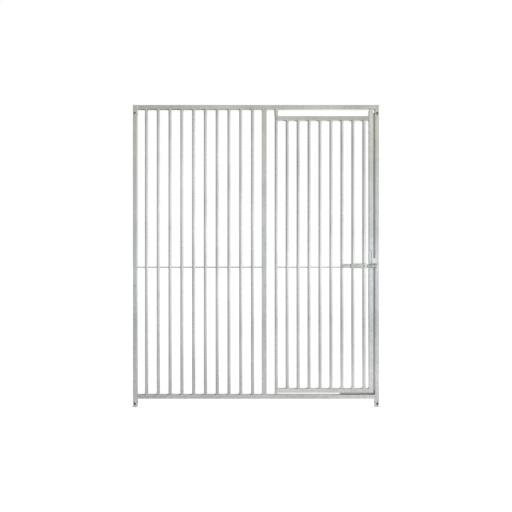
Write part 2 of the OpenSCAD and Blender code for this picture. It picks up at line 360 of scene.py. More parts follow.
# Barrel, grip and sleeve: matt and cloudy
LATCH_ZINC = ZincFinish(
    "galvanised_latch", "#bcc2bc", "#f0f4ee", (0.36, 0.50), 0.35, spangle_mm=6.0, cloud_mm=25.0
)
# Dark finishes on the zinc. The grey one draws a dark line on the stile and the painted shadow on the
# bolt's grip by the barrel's mouth; the nearly black one draws painted shadows beside the bars and at
# the hinge end, and painted shade below the bolt holes
GREY_LINE_AND_SHADOW_ZINC = ZincFinish("grey_line_and_painted_shadow", "#7f8483", "#a4a9a7", (0.55, 0.70), 0.3, spangle_mm=4.0)
PAINTED_SHADOW_ZINC = ZincFinish("painted_shadow_on_zinc", "#454a49", "#6a6f6d", (0.55, 0.70), 0.2, spangle_mm=4.0)
# Seams and collar: the brightest zinc, which also paints the highlight that the top corner seams and the
# collar show
SEAM_ZINC = ZincFinish("bright_seam_and_painted_highlight", "#e8ebe9", "#ffffff", (0.30, 0.45), 0.4, spangle_mm=4.0)
# Weld bead under zinc: uneven and grainy
WELD_ZINC = ZincFinish(
    "galvanised_weld",
    "#b6bbb9",
    "#e3e7e5",
    (0.28, 0.46),
    spangle_mm=4.0,
    cloud_mm=30.0,
    grain_mm=1.4,
    grain_bump=0.25,
)


def new_object(name: str, data: Any) -> Any:
    """Makes an object of a mesh, lamp or camera, and puts it in the scene.

    Args:
        name: the object's name.
        data: what the object shows.

    Returns:
        The object, at the origin.
    """
    made = bpy.data.objects.new(name, data)
    bpy.context.scene.collection.objects.link(made)
    return made


@dataclass(frozen=True)
class Trim:
    """The materials of the small pieces."""

    weld: Any
    seam: Any
    plate: Any
    # A grey line on the stile and a painted shadow on the grip; painted shadow and shade on rails, posts
    # and hinge end
    grey_line_and_shadow: Any
    mark: Any


@dataclass
class Loft:
    """A surface through closed loops: a grid of points along its run and round each loop."""

    points: Array
    closed: bool

    def faces(self, first: int) -> list[list[int]]:
        """Gives the quads between the loops, and an end face at each end of an open run.

        Args:
            first: the number of the surface's first vertex.

        Returns:
            The faces as lists of vertex numbers.
        """
        nu, nv = self.points.shape[:2]
        iu = np.arange(nu if self.closed else nu - 1)[:, None]
        iv = np.arange(nv)[None, :]
        ju, jv = (iu + 1) % nu, (iv + 1) % nv
        quads = np.stack([iu * nv + iv, ju * nv + iv, ju * nv + jv, iu * nv + jv], -1)
        made = (quads.reshape(-1, 4) + first).tolist()
        if not self.closed:
            made.append((np.arange(nv)[::-1] + first).tolist())
            made.append((np.arange(nv) + (nu - 1) * nv + first).tolist())
        return made


def make_piece(name: str, surfaces: Sequence[Loft], finish: Any, body: Body) -> None:
    """Joins surfaces into one object that rides on a body.

    Args:
        name: the piece's name.
        surfaces: closed surfaces in the frame of the CAD.
        finish: the material.
        body: the body that it moves with.
    """
    starts = np.cumsum([0] + [s.points.shape[0] * s.points.shape[1] for s in surfaces])
    points = np.concatenate([s.points.reshape(-1, 3) for s in surfaces])
    faces = [f for s, first in zip(surfaces, starts) for f in s.faces(int(first))]
    mesh = bpy.data.meshes.new(name)
    mesh.from_pydata(points.tolist(), [], faces)
    work = bmesh.new()
    work.from_mesh(mesh)
    bmesh.ops.recalc_face_normals(work, faces=work.faces)
    work.to_mesh(mesh)
    work.free()
    mesh.polygons.foreach_set("use_smooth", np.ones(len(mesh.polygons), bool))
    mesh.materials.append(finish)
    piece = new_object(name, mesh)
    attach(piece, body.value)
    count = len(mesh.polygons)
    LOG.info("%s: %d surfaces, %d faces on %s", name, len(surfaces), count, body.value)


@dataclass(frozen=True)
class Box:
    """Lowest and highest corner of a CAD node at rest."""

    low: Array
    high: Array

    @staticmethod
    def of(node: str) -> Box:
        """Reads a node's box."""
        low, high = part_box(node)
        return Box(np.array(low), np.array(high))

    @property
    def centre(self) -> Array:
        """The middle of the box."""
        return (self.low + self.high) / 2

    @property
    def half(self) -> Array:
        """Half the size of the box."""
        return (self.high - self.low) / 2


@dataclass(frozen=True)
class WeldBead:
    """A hand-laid weld bead.

    It has a leg on each face, a bulge, ripples at a spacing, and ends that taper. A seam is a bead
    that lies flat over a groove: a share of the leg counts across, and the legs lean out a little.
    The phase of each bead shifts its ripples, so that no two match.
    """

    leg: float = 4.0 * MM
    bulge: float = 1.1 * MM
    ripple: float = 3.2 * MM
    ripple_share: float = 0.13
    waver_ripples: float = 9.3
    waver_share: float = 0.8
    waver_shift: float = 2.1
    bar_wavers: Pair = (0.14, 0.10)
    bar_shift: float = 2.3
    taper: float = 5.0 * MM
    least_end: float = 0.02
    step: float = 0.8 * MM
    sink: float = 0.8 * MM
    bar_sink: float = 1.0 * MM
    edge_gap: float = 0.3 * MM
    seam_share: float = 0.8
    seam_lean: float = 0.06
    band_phase: float = 0.2
    least_points: int = 8
    least_arc_points: int = 16
    band_points: int = 110
    ring_points: int = 20
    profile_points: int = 8
    fillet_points: int = 7

    def along(
        self, corner: Array, leg_a: Array, leg_b: Array, phase: float, closed: bool = False
    ) -> Loft:
        """Carries a bead along a path.

        At each point the profile is a half ellipse over the chord from a leg along face a to a leg
        along face b. It bulges away from the corner and is closed by a point that is sunk behind it.
        Its size along the run is one plus a ripple and a slow waver, both sine waves.

        Args:
            corner: (n, 3) points of the path.
            leg_a: (n, 3) or (3,) directions along the first face, away from the corner.
            leg_b: the same along the second face.
            phase: shifts the ripples.
            closed: True where the path ends where it starts.

        Returns:
            The bead's surface.
        """
        a = np.broadcast_to(leg_a, corner.shape)
        b = np.broadcast_to(leg_b, corner.shape)
        gaps = np.linalg.norm(np.diff(corner, axis=0), axis=1)
        run = np.concatenate([[0.0], np.cumsum(gaps)])
        rippled = np.sin(2 * np.pi * run / self.ripple + phase)
        slow = 2 * np.pi * run / (self.waver_ripples * self.ripple)
        waver = np.sin(slow + self.waver_shift * phase)
        size = 1 + self.ripple_share * (rippled + self.waver_share * waver)
        if not closed:
            end = np.minimum(run, run[-1] - run)
            size = size * np.sqrt(np.clip(end / self.taper, self.least_end, 1.0))
        out = (a + b) / np.linalg.norm(a + b, axis=1, keepdims=True)
        turn = np.linspace(0, np.pi, self.profile_points)[None, :, None]
        middle = (a + b)[:, None, :] * (self.leg / 2)
        chord = (a - b)[:, None, :] * (self.leg / 2) * np.cos(turn)
        swelling = out[:, None, :] * self.bulge * np.sin(turn)
        sunk = -self.sink * out[:, None, :]
        profile = np.concatenate([middle + chord + swelling, sunk], axis=1)
        return Loft(corner[:, None, :] + size[:, None, None] * profile, closed)

    def straight(self, start: Point, end: Point, leg_a: Point, leg_b: Point, phase: float) -> Loft:
        """Lays a bead along a straight corner.

        Args:
            start: first point of the corner.
            end: last point of the corner.
            leg_a: direction along the first face.
            leg_b: direction along the second face.
            phase: shifts the ripples.

        Returns:
            The bead's surface.
        """
        first, last = np.asarray(start, float), np.asarray(end, float)
        count = max(self.least_points, int(np.linalg.norm(last - first) / self.step))
        path = first + (last - first) * np.linspace(0, 1, count)[:, None]
        return self.along(path, np.asarray(leg_a, float), np.asarray(leg_b, float), phase)

    def seam(self, start: Point, end: Point, across: Point, normal: Point, phase: float) -> Loft:
        """Lays a flat bead over a straight groove.

        Args:
            start: first point of the groove, on the face.
            end: last point of the groove.
            across: unit direction in the face, across the groove.
            normal: the face's outward normal.
            phase: shifts the ripples.

        Returns:
            The bead's surface.
        """
        over = self.seam_share * np.asarray(across, float)
        lean = self.seam_lean * np.asarray(normal, float)
        return self.straight(start, end, over + lean, lean - over, phase)

    def band(self, tube: Box, x: float, half_turn: float) -> Loft:
        """Lays a flat ring round a tube along X, or part of one that is open at the front.

        Args:
            tube: the tube's box.
            x: where the ring's middle lies.
            half_turn: half the ring in radians; pi gives a full ring.

        Returns:
            The ring's surface.
        """
        full = half_turn >= np.pi - TINY
        turn = np.linspace(-half_turn, half_turn, self.band_points, endpoint=not full)
        radial = np.stack([np.zeros_like(turn), np.cos(turn), np.sin(turn)], -1)
        path = np.array([x, tube.centre[1], tube.centre[2]]) + tube.half[2] * radial
        over = np.array([self.seam_share, 0.0, 0.0])
        lean = self.seam_lean * radial
        return self.along(path, over + lean, lean - over, self.band_phase, closed=full)

    def round_bar(self, bar: Box, rail: Box, upward: float, corner_r: float, phase: float) -> Loft:
        """Lays a bead round an upright bar where it meets a rail.

        The profile is a quarter ellipse from a leg up the bar to a leg on the rail, carried round
        the bar's circle. The legs waver by two slow sine waves and a ripple. Past the rail's flat,
        the foot of the bead follows the rail's rounded corner down.

        Args:
            bar: the bar's box.
            rail: the rail's box.
            upward: 1 where the bar stands on the rail, -1 where it hangs from it.
            corner_r: the rail's corner radius.
            phase: shifts the ripples.

        Returns:
            The bead's surface.
        """
        radius = bar.half[0]
        depth = rail.half[1]
        face = rail.high[2] if upward > 0 else rail.low[2]
        count = int(2 * np.pi * radius / self.step)
        turn = np.linspace(0, 2 * np.pi, count, endpoint=False)
        twice, thrice = self.bar_wavers
        waver = 1 + twice * np.sin(2 * turn + phase)
        waver = waver + thrice * np.sin(3 * turn + self.bar_shift * phase)
        ripples = round(2 * np.pi * radius / self.ripple)
        leg = self.leg * waver * (1 + self.ripple_share * np.sin(ripples * turn + phase))
        reach = (depth - self.edge_gap) / np.maximum(np.abs(np.sin(turn)), TINY)
        foot = np.minimum(radius + leg, reach)
        rise = np.linspace(0, np.pi / 2, self.fillet_points)
        ring = radius + (foot - radius)[:, None] * np.sin(rise)
        up = leg[:, None] * np.cos(rise)
        ring = np.concatenate([ring, np.full((count, 1), radius - self.sink)], axis=1)
        up = np.concatenate([up, np.full((count, 1), -self.bar_sink)], axis=1)
        off_flat = np.abs(ring * np.sin(turn)[:, None]) - (depth - corner_r)
        drop = corner_r - np.sqrt(corner_r**2 - np.clip(off_flat, 0, corner_r) ** 2)
        x = bar.centre[0] + ring * np.cos(turn)[:, None]
        y = bar.centre[1] + ring * np.sin(turn)[:, None]
        return Loft(np.stack([x, y, face + upward * (up - drop)], -1), True)

    def arc(
        self, centre: Point, radius: float, up: Point, ahead: Point, half_turn: float, phase: float
    ) -> Loft:
        """Lays a bead on part of a circle, between a round piece and the flat face it stands on.

        Args:
            centre: the circle's centre, on the flat face.
            radius: the round piece's radius.
            up: unit normal of the flat face, along the round piece.
            ahead: unit direction from the centre to the middle of the arc.
            half_turn: half the arc in radians; pi gives a full ring.
            phase: shifts the ripples.

        Returns:
            The bead's surface.
        """
        rise, front = np.asarray(up, float), np.asarray(ahead, float)
        full = half_turn >= np.pi - TINY
        count = max(self.least_arc_points, int(2 * half_turn * radius / self.step))
        turn = np.linspace(-half_turn, half_turn, count, endpoint=not full)[:, None]
        radial = np.cos(turn) * front + np.sin(turn) * np.cross(rise, front)
        path = np.asarray(centre, float) + radius * radial
        return self.along(path, radial, rise, phase, closed=full)

    def through_bar(self, rod: Box, bar: Box, side: float, phase: float) -> Loft:
        """Lays a ring of weld round a rod where it leaves the side of an upright bar.

        The path is the rod's circle laid on the bar's cylinder: at an offset y from the bar's axis,
        it stands off by the root of the bar's radius squared less y squared.

        Args:
            rod: the rod's box.
            bar: the bar's box.
            side: 1 for the right side of the bar, -1 for the left.
            phase: shifts the ripples.

        Returns:
            The ring's surface.
        """
        radius = rod.half[2]
        turn = np.linspace(0, 2 * np.pi, self.ring_points, endpoint=False)
        radial = np.stack([np.zeros_like(turn), np.cos(turn), np.sin(turn)], -1)
        off = side * np.sqrt(bar.half[1] ** 2 - (radius * np.cos(turn)) ** 2)
        path = np.array([bar.centre[0], rod.centre[1], rod.centre[2]]) + radius * radial
        path[:, 0] += off
        return self.along(path, radial, np.array([side, 0.0, 0.0]), phase, closed=True)


@dataclass(frozen=True)
class ZincDrip:
    """A bead of zinc that froze where it ran off a lower edge."""

    width: float = 5.0 * MM
    length: float = 4.5 * MM
    root: float = 0.8 * MM
    waist: float = 0.45
    blunt: float = 0.02
    flatness: float = 0.7
    loops: int = 10
    loop_points: int = 14

    def at(self, point: Point, scale: float) -> Loft:
        """Hangs a drip from a point.

        A turned shape: the radius falls from the full width at the root to a round tip, as the root
        of one less the depth squared, with a slight waist. It is flatter from front to back.

        Args:
            point: where it hangs from, on the metal.
            scale: its size against the usual one.

        Returns:
            The drip's surface.
        """
        depth = np.linspace(0, 1, self.loops)[:, None]
        turn = np.linspace(0, 2 * np.pi, self.loop_points, endpoint=False)[None, :]
        waist = 1 - self.waist * depth * (1 - depth)
        radius = 0.5 * self.width * scale * np.sqrt(1 + self.blunt - depth**2) * waist
        x = point[0] + radius * np.cos(turn)
        y = point[1] + self.flatness * radius * np.sin(turn)
        z = point[2] + self.root - (self.length * scale + self.root) * depth + 0 * turn
        return Loft(np.stack([x, y, z], -1), False)


@dataclass(frozen=True)
class ZincRun:
    """A flat streak laid over a face, wider towards its end: the zinc lump, the dark lines and the
    painted shadows.
    """

    width: float
    height: float
    sink: float = 0.5 * MM
    start_share: float = 0.55
    roundings: Pair = (12.0, 14.0)
    least_end: float = 0.01
    loops: int = 48
    profile_points: int = 8

    def along(self, bends: Sequence[Point], normal: Point) -> Loft:
        """Carries a flat half ellipse along a bent path, with round ends, growing towards the last.

        Args:
            bends: four points of a cubic Bezier curve on the face.
            normal: the face's outward normal.

        Returns:
            The run's surface.
        """
        t = np.linspace(0, 1, self.loops)[:, None]
        s = 1 - t
        p = np.asarray(bends, float)
        path = s**3 * p[0] + 3 * t * s**2 * p[1] + 3 * t**2 * s * p[2] + t**3 * p[3]
        ahead = np.gradient(path, axis=0)
        ahead = ahead / np.linalg.norm(ahead, axis=1, keepdims=True)
        up = np.asarray(normal, float)
        across = np.cross(ahead, up)
        near_end = np.minimum(self.roundings[0] * t, self.roundings[1] * s)
        rounded = np.sqrt(np.clip(near_end, self.least_end, 1))
        size = rounded * (self.start_share + (1 - self.start_share) * t)
        turn = np.linspace(0, np.pi, self.profile_points)[None, :, None]
        flat = across[:, None, :] * (0.5 * self.width) * np.cos(turn)
        crown = up * self.height * np.sin(turn)
        sunk = np.broadcast_to(-self.sink * up, path.shape)[:, None, :]
        profile = np.concatenate([flat + crown, sunk], axis=1)
        return Loft(path[:, None, :] + size[:, None, :] * profile, False)


@dataclass
class BarredPanel:
    """What the fixed bay and the door share: two rails, with upright bars and a cross rod between.

    The rails are named from the top. The phases of beads go up in steps from bar to bar, and those
    at the top rail have a start before the step. Each of the rod's ends on a tube has the way
    inwards and a phase, and a bar that it comes from has a ring on its right side alone. The drips
    hang at shares of each rail's length, in three sizes by turns.
    """

    bar_name: str
    bars: int
    rails: tuple[str, str]
    rod: str
    rod_ends: tuple[Pair, ...]
    low_step: float
    high_phase: Pair
    ring_step: float
    drip_spots: Spots
    drip_y: Pair
    drip_scale: float
    # Painted shadows: how far left of each bar they reach
    shadow_reach: float
    rod_from: tuple[str, ...] = ()
    drip_sizes: int = 3
    drip_growth: float = 0.15
    shadow_front: float = 0.35
    shadow_lap: float = 0.6
    corner_r: float = 3.0 * MM
    seam_out: float = 1.2 * MM
    bead: WeldBead = WeldBead()
    fillet: WeldBead = WeldBead(leg=2.6 * MM)
    ring: WeldBead = WeldBead(leg=2.0 * MM, bulge=0.5 * MM, ripple_share=0.06)
    drip: ZincDrip = ZincDrip()
    # Painted shadow: a dark streak on the rail beside each end of each bar
    mark: ZincRun = ZincRun(width=11.0 * MM, height=0.4 * MM)

    def bar_boxes(self) -> list[Box]:
        """Reads the boxes of the bars."""
        return [Box.of(f"{self.bar_name}_{i + 1}") for i in range(self.bars)]

    def rail_boxes(self) -> tuple[Box, Box]:
        """Reads the boxes of the upper and the lower rail."""
        return (Box.of(self.rails[0]), Box.of(self.rails[1]))

    def bar_welds(self) -> list[Loft]:
        """Lays a bead round each end of each bar.

        Returns:
            The beads on the lower rail, then those under the upper one.
        """
        top, bottom = self.rail_boxes()
        start, step = self.high_phase
        low, high = [], []
        for i, bar in enumerate(self.bar_boxes()):
            low.append(self.fillet.round_bar(bar, bottom, 1, self.corner_r, self.low_step * i))
            high.append(self.fillet.round_bar(bar, top, -1, self.corner_r, start + step * i))
        return low + high

    def end_welds(
        self,
        rail: Box,
        side: int,
        seam_in: float,
        fillets: Sequence[Point],
        phase: float,
        rear_from: float = 0.0,
    ) -> list[Loft]:
        """Lays the beads round one end of a rail: seams in front and behind, fillets above or below.

        Args:
            rail: the rail's box.
            side: 1 for the right end, -1 for the left.
            seam_in: how far the seams lie from the joint towards the rail's middle.
            fillets: UP or DOWN for each fillet.
            phase: shifts the ripples.
            rear_from: the height that the rear seam stays above.

        Returns:
            The beads.
        """
        (x0, y0, z0), (x1, y1, z1) = rail.low, rail.high
        x = x1 if side > 0 else x0
        groove = x - side * seam_in
        rear = (groove, y1, max(z0, rear_from))
        made = [self.bead.seam((groove, y0, z0), (groove, y0, z1), RIGHT, FRONT, phase)]
        made.append(self.bead.seam(rear, (groove, y1, z1), RIGHT, BACK, phase + 2))
        for n, way in enumerate(fillets, 3):
            z = z1 if way == UP else z0
            start, end = (x, y0 + self.corner_r, z), (x, y1 - self.corner_r, z)
            made.append(self.bead.straight(start, end, (-side, 0, 0), way, phase + n))
        return made

    def rod_welds(self) -> list[Loft]:
        """Lays a small ring of weld where the cross rod meets a tube, and on each side of each bar.

        Returns:
            The rings at the rod's ends, then those at the bars.
        """
        rod = Box.of(self.rod)
        _, y, z = rod.centre
        made = []
        for way, phase in self.rod_ends:
            end = (rod.low[0] if way > 0 else rod.high[0], y, z)
            made.append(self.ring.arc(end, rod.half[2], (way, 0, 0), UP, np.pi, phase))
        sides = [(Box.of(bar), 1) for bar in self.rod_from]
        sides += [(bar, side) for bar in self.bar_boxes() for side in (-1, 1)]
        for n, (bar, side) in enumerate(sides):
            made.append(self.ring.through_bar(rod, bar, side, self.ring_step * n))
        return made

    def drips(self) -> list[Loft]:
        """Hangs the drips under both rails, where the zinc ran off last.

        Returns:
            The drips.
        """
        start, step = self.drip_y
        made = []
        for rail, spots in zip(self.rail_boxes(), self.drip_spots):
            for n, share in enumerate(spots):
                turn = n % self.drip_sizes
                x = rail.low[0] + share * (rail.high[0] - rail.low[0])
                place = (x, rail.centre[1] + start + step * turn, rail.low[2])
                made.append(self.drip.at(place, self.drip_scale + self.drip_growth * turn))
        return made

    def bar_shadows(self) -> list[Loft]:
        """Lays painted shadows on the rails, to the left of each bar and in front of its axis.

        Returns:
            The painted shadows on the lower rail, then those under the upper one.
        """
        top, bottom = self.rail_boxes()
        made = []
        for rail, z, way in ((bottom, bottom.high[2], UP), (top, top.low[2], DOWN)):
            y = rail.centre[1] - self.shadow_front * rail.half[1]
            for bar in self.bar_boxes():
                ends = (bar.low[0] - self.shadow_reach, bar.centre[0] - self.shadow_lap * bar.half[0])
                made.append(self.mark.along([(x, y, z) for x in np.linspace(*ends, BENDS)], way))
        return made


@dataclass
class FixedBay(BarredPanel):
    """The frame on the ground: posts, rails, the bars of the fixed bay and their cross rod."""

    bar_name: str = "panel_bar"
    bars: int = 10
    rails: tuple[str, str] = ("top_rail", "bottom_rail")
    rod: str = "panel_cross_rod"
    rod_ends: tuple[Pair, ...] = ((1, 1.0), (-1, -1.0))
    low_step: float = 1.3
    high_phase: Pair = (0.7, 1.9)
    ring_step: float = 1.7
    drip_spots: Spots = ((0.03, 0.34, 0.61, 0.96), (0.02, 0.18, 0.43, 0.77, 0.98))
    drip_y: Pair = (-4.0 * MM, 3.0 * MM)
    drip_scale: float = 0.7
    shadow_reach: float = 12.0 * MM
    top_seam_in: float = 2.6 * MM
    stitch: WeldBead = WeldBead(leg=3.0 * MM, bulge=0.8 * MM)
    stitch_len: float = 30.0 * MM
    strip_stitches: int = 6
    strip_ends: Pair = (60.0 * MM, 90.0 * MM)
    strip_phase: float = 9.0
    sill_stitches: int = 3
    sill_ends: Pair = (5.0 * MM, 35.0 * MM)
    sill_phase: float = 11.0
    low_hole_z: float = 25.0 * MM
    high_hole_z: float = 1789.0 * MM
    hole_r: float = 7.0 * MM
    # Painted shade below the bolt holes: how far it laps into each hole and how far it runs down
    shade_lap: float = 0.5 * MM
    shade_drop: float = 6.0 * MM

    def corner_welds(self, rail: Box, seam_in: float, fillets: Sequence[Point]) -> list[Loft]:
        """Lays the beads at both ends of a rail, as end_welds does."""
        ends = [self.end_welds(rail, side, seam_in, fillets, rail.low[2] + side) for side in (-1, 1)]
        return ends[0] + ends[1]

    def mid_post_welds(self) -> list[Loft]:
        """Lays the beads at both ends of the mid post.

        Returns:
            Seams in front and behind, and fillets at the sides.
        """
        post = Box.of("mid_post")
        (x0, y0, z0), (x1, y1, z1) = post.low, post.high
        a, b = y0 + self.corner_r, y1 - self.corner_r
        made = []
        for up, z in ((1, z0), (-1, z1)):
            groove = z - up * self.seam_out
            away = (0, 0, up)
            made.append(self.bead.seam((x0, y0, groove), (x1, y0, groove), UP, FRONT, up))
            made.append(self.bead.seam((x0, y1, groove), (x1, y1, groove), UP, BACK, up + 1))
            made.append(self.bead.straight((x0, a, z), (x0, b, z), LEFT, away, up + 2))
            made.append(self.bead.straight((x1, a, z), (x1, b, z), RIGHT, away, up + 3))
        return made

    def strip_welds(self) -> list[Loft]:
        """Lays the short stitches that hold the gap strip and the sill stop.

        Returns:
            The stitches up the strip, then those along the sill stop.
        """
        strip, sill = Box.of("gap_strip"), Box.of("sill_stop")
        x, y = strip.high[0], strip.low[1]
        first, last = self.strip_ends
        made = []
        for z in np.linspace(strip.low[2] + first, strip.high[2] - last, self.strip_stitches):
            end = (x, y, z + self.stitch_len)
            made.append(self.stitch.straight((x, y, z), end, RIGHT, BACK, self.strip_phase * z))
        first, last = self.sill_ends
        z = sill.low[2]
        for x in np.linspace(sill.low[0] + first, sill.high[0] - last, self.sill_stitches):
            end = (x + self.stitch_len, y, z)
            made.append(self.stitch.straight((x, y, z), end, DOWN, BACK, self.sill_phase * x))
        return made

    def hole_shade_streaks(self) -> list[Loft]:
        """Lays painted shade below three bolt holes in the posts' front faces, so that the holes read
        darker and deeper.

        Returns:
            The streaks of painted shade.
        """
        left, right = Box.of("left_post"), Box.of("right_post")
        low, high = self.low_hole_z - self.hole_r, self.high_hole_z - self.hole_r
        made = []
        for post, edge in ((left, low), (right, low), (right, high)):
            drop = np.linspace(edge + self.shade_lap, edge - self.shade_drop, BENDS)
            path = [(post.centre[0], post.low[1], z) for z in drop]
            made.append(self.mark.along(path, FRONT))
        return made

    def build(self, trim: Trim) -> None:
        """Builds the frame's beads and drips, the painted shadows beside the bars and the painted shade
        below the bolt holes.

        Args:
            trim: the materials of the small pieces.
        """
        top, bottom = self.rail_boxes()
        upper = self.corner_welds(top, self.top_seam_in, (DOWN,))
        lower = self.corner_welds(bottom, -self.seam_out, (DOWN, UP))
        for name, surfaces, finish, slot in (
            ("bay_bar_welds", self.bar_welds(), trim.weld, Slot.ROUND_BAR),
            ("top_corner_welds", upper, trim.seam, Slot.SQUARE_TUBE),
            ("foot_corner_welds", lower, trim.weld, Slot.SQUARE_TUBE),
            ("mid_post_welds", self.mid_post_welds(), trim.weld, Slot.SQUARE_TUBE),
            ("bay_rod_welds", self.rod_welds(), trim.weld, Slot.STRIP_AND_ROD),
            ("strip_welds", self.strip_welds(), trim.weld, Slot.STRIP_AND_ROD),
            ("frame_zinc_drips", self.drips(), trim.weld, Slot.SQUARE_TUBE),
            ("bay_painted_shadows", self.bar_shadows(), trim.mark, Slot.SQUARE_TUBE),
            ("hole_painted_shade", self.hole_shade_streaks(), trim.mark, Slot.SQUARE_TUBE),
        ):
            make_piece(name, surfaces, finish, Body.FRAME)


@dataclass
class DoorLeaf(BarredPanel):
    """The bar door: its rails, lock stile, bars and cross rod."""

    bar_name: str = "door_bar"
    bars: int = 8
    rails: tuple[str, str] = ("door_top_rail", "door_bottom_rail")
    rod: str = "door_cross_rod"
    rod_ends: tuple[Pair, ...] = ((-1, 0.4),)
    rod_from: tuple[str, ...] = ("hinge_bar",)
    low_step: float = 2.1
    high_phase: Pair = (0.4, 1.5)
    ring_step: float = 1.9
    drip_spots: Spots = ((0.20, 0.55, 0.93), (0.12, 0.47, 0.70, 0.97))
    drip_y: Pair = (3.0 * MM, -3.0 * MM)
    drip_scale: float = 0.65
    shadow_reach: float = 16.0 * MM
    hinge: WeldBead = WeldBead(leg=2.4 * MM, bulge=0.7 * MM)
    hinge_arc_above: float = 0.85
    hinge_arc_below: float = 1.1
    stop_gap: float = 3.0 * MM
    rail_lean: float = math.radians(24)
    line: ZincRun = ZincRun(width=3.4 * MM, height=0.4 * MM)
    line_inset: float = 0.5
    line_shift: float = 0.4
    line_rise: float = 52.0 * MM
    line_bend: float = 12.0 * MM
    line_bow: float = 3.0 * MM
    line_lap: float = 4.0 * MM
    line_gap: float = 0.5 * MM
    lump: ZincRun = ZincRun(width=13.0 * MM, height=0.9 * MM)
    lump_rise: float = 62.0 * MM
    lump_bow: float = 2.0 * MM
    lump_in: float = 8.0 * MM

    def stile_welds(self) -> list[Loft]:
        """Lays the beads where the rails meet the lock stile; the rear ones clear the sill stop.

        Returns:
            The beads of the upper rail, then those of the lower one.
        """
        clear = Box.of("sill_stop").high[2] + self.stop_gap
        top, bottom = self.rail_boxes()
        upper = self.end_welds(top, 1, -self.seam_out, (UP, DOWN), phase=0, rear_from=clear)
        return upper + self.end_welds(bottom, 1, -self.seam_out, (UP,), phase=1, rear_from=clear)

    def hinge_welds(self) -> list[Loft]:
        """Lays the beads round the hinge bar: above both coped rails, and below the upper one.

        Returns:
            The beads.
        """
        bar = Box.of("hinge_bar")
        x, y, _ = bar.centre
        top, bottom = self.rail_boxes()
        made = []
        for z, up, arc, phase in (
            (top.high[2], UP, self.hinge_arc_above, 0.3),
            (top.low[2], DOWN, self.hinge_arc_below, 1.3),
            (bottom.high[2], UP, self.hinge_arc_above, 1.3),
        ):
            made.append(self.hinge.arc((x, y, z), bar.half[0], up, RIGHT, arc, phase))
        return made

    def hinge_line(self) -> list[Loft]:
        """Lays a painted shadow along the leaning end of the top rail, on its front face, where the
        rail's end shades the hinge bar.

        Returns:
            The line alone.
        """
        rail, bar = Box.of(self.rails[0]), Box.of("hinge_bar")
        inset = self.line_inset * self.corner_r
        z = np.linspace(rail.high[2] - inset, rail.low[2] + inset, BENDS)
        lean = (z - rail.centre[2]) * math.tan(self.rail_lean)
        x = bar.centre[0] + lean + self.line_shift * self.line.width
        return [self.line.along([(a, rail.low[1], b) for a, b in zip(x, z)], FRONT)]

    def stile_line(self) -> list[Loft]:
        """Lays a dark line on the stile's face: it bends from the edge and falls to the tab.

        Returns:
            The line alone.
        """
        stile, tab = Box.of("lock_stile"), Box.of("overlap_tab")
        y = stile.low[1]
        x0, x1 = stile.low[0] + self.corner_r, tab.low[0] - self.line_gap
        z0, z1 = tab.high[2] + self.line_rise, tab.high[2] - self.line_lap
        bow, bend = (x1 + self.line_bow, y, z0), (x1, y, z0 - self.line_bend)
        return [self.line.along(((x0, y, z0), bow, bend, (x1, y, z1)), FRONT)]

    def stile_lump(self) -> list[Loft]:
        """Lays the bright lump of zinc above the dark line.

        Returns:
            The lump alone.
        """
        stile, tab = Box.of("lock_stile"), Box.of("overlap_tab")
        y = stile.low[1]
        x0, x1 = stile.low[0] + self.lump_in, stile.high[0] - self.corner_r
        z = tab.high[2] + self.lump_rise
        crest = ((x0 + x1) / 2, y, z + self.lump_bow)
        return [self.lump.along(((x0, y, z), crest, crest, (x1, y, z)), FRONT)]

    def build(self, trim: Trim) -> None:
        """Builds the door's beads, drips and lump, a dark line on the stile, and the painted shadows at
        the hinge end and beside the bars.

        Args:
            trim: the materials of the small pieces.
        """
        for name, surfaces, finish, slot in (
            ("door_bar_welds", self.bar_welds(), trim.weld, Slot.ROUND_BAR),
            ("stile_welds", self.stile_welds(), trim.weld, Slot.SQUARE_TUBE),
            ("hinge_bar_welds", self.hinge_welds(), trim.weld, Slot.ROUND_BAR),
            ("door_rod_welds", self.rod_welds(), trim.weld, Slot.STRIP_AND_ROD),
            ("door_zinc_drips", self.drips(), trim.weld, Slot.SQUARE_TUBE),
            ("stile_zinc_lump", self.stile_lump(), trim.plate, Slot.SQUARE_TUBE),
            ("stile_dark_line", self.stile_line(), trim.grey_line_and_shadow, Slot.SQUARE_TUBE),
            ("hinge_painted_shadow", self.hinge_line(), trim.mark, Slot.SQUARE_TUBE),
            ("door_painted_shadows", self.bar_shadows(), trim.mark, Slot.SQUARE_TUBE),
        ):
            make_piece(name, surfaces, finish, Body.DOOR)


@dataclass
class DoorPivots:
    """The sleeve and the pin that the door turns on."""

    bead: WeldBead = WeldBead(leg=3.0 * MM, bulge=0.8 * MM)
    sleeve_arc: float = 0.8

    def welds(self) -> list[Loft]:
        """Lays the beads that hold the sleeve under the top rail and the pin on the bottom rail.

        Returns:
            The two arcs at the sleeve's sides, then the pin's ring.
        """
        sleeve, pin, rail = Box.of("hinge_sleeve"), Box.of("hinge_pin"), Box.of("bottom_rail")
        top = (sleeve.centre[0], sleeve.centre[1], sleeve.high[2])
        foot = (pin.centre[0], pin.centre[1], rail.high[2])
        made = []
        for way in (-1, 1):
            ahead = (way, 0, 0)
            made.append(self.bead.arc(top, sleeve.half[0], DOWN, ahead, self.sleeve_arc, way))
        made.append(self.bead.arc(foot, pin.half[0], UP, RIGHT, np.pi, phase=0.6))
        return made

    def build(self, trim: Trim) -> None:
        """Builds the pivots' beads."""
        make_piece("pivot_welds", self.welds(), trim.weld, Body.FRAME)


